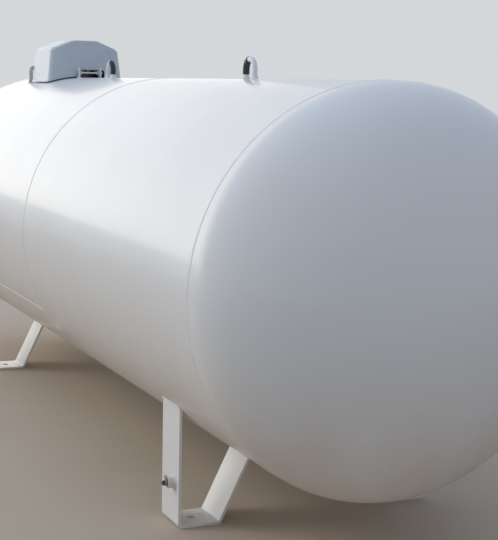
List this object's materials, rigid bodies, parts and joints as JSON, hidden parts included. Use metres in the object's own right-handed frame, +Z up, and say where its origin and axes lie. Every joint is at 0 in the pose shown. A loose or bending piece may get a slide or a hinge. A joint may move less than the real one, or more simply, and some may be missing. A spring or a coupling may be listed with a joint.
{
  "type": "horizontal pressure tank",
  "caption": "White horizontal gas tank with dished ends, bent-bar feet, lifting lugs and a hinged blue-grey valve hood on its crest.",
  "frame": {"origin": "on the ground under the middle girth weld, at the centre of the footprint", "axes": "+X along the tank towards the near end, +Z up, -Y towards the sunlit flank"},
  "size_m": [4.245, 1.2542, 1.626],
  "materials": {
    "white_paint": "gloss white paint",
    "weld_paint": "gloss white paint over a weld bead",
    "hood_paint": "satin light blue-grey",
    "black_rubber": "matt black",
    "zinc_steel": "dull zinc",
    "dark_steel": "dark weathered zinc",
    "brass": "dull brass",
    "black_plastic": "matt black",
    "red_plastic": "matt red"
  },
  "bodies": {
    "tank": {"shell_course_near": "white_paint", "shell_course_far": "white_paint", "head_near": "white_paint", "head_far": "white_paint", "girth_weld_near": "weld_paint", "girth_weld_middle": "weld_paint", "girth_weld_far": "weld_paint", "long_weld_near": "weld_paint", "long_weld_far": "weld_paint", "foot_near_left": "white_paint", "foot_near_right": "white_paint", "foot_far_left": "white_paint", "foot_far_right": "white_paint", "earthing_boss": "white_paint", "earthing_bolt": "dark_steel", "earthing_clamp": "zinc_steel", "lifting_lug_near": "white_paint", "lifting_lug_far": "white_paint", "lug_sleeve_near": "black_rubber", "lug_sleeve_far": "black_rubber", "valve_neck": "dark_steel", "valve_plate": "dark_steel", "fill_valve": "brass", "fill_cap": "black_plastic", "relief_valve": "brass", "relief_cap": "red_plastic", "service_valve": "brass", "service_handwheel": "red_plastic", "level_gauge": "zinc_steel", "hinge_plate_left": "white_paint", "hinge_plate_right": "white_paint", "hinge_rod": "zinc_steel", "latch_hoop": "zinc_steel"},
    "hood": {"valve_hood": "hood_paint", "hood_hinge_arms": "hood_paint", "hood_hasp": "hood_paint"}
  },
  "joints": [
    {"name": "hood_hinge", "type": "hinge", "parent": "tank", "child": "hood", "pos_m": [-1.145, 0.009, 1.468], "axis": [0, 1, 0], "range_deg": [0, 100]}
  ]
}
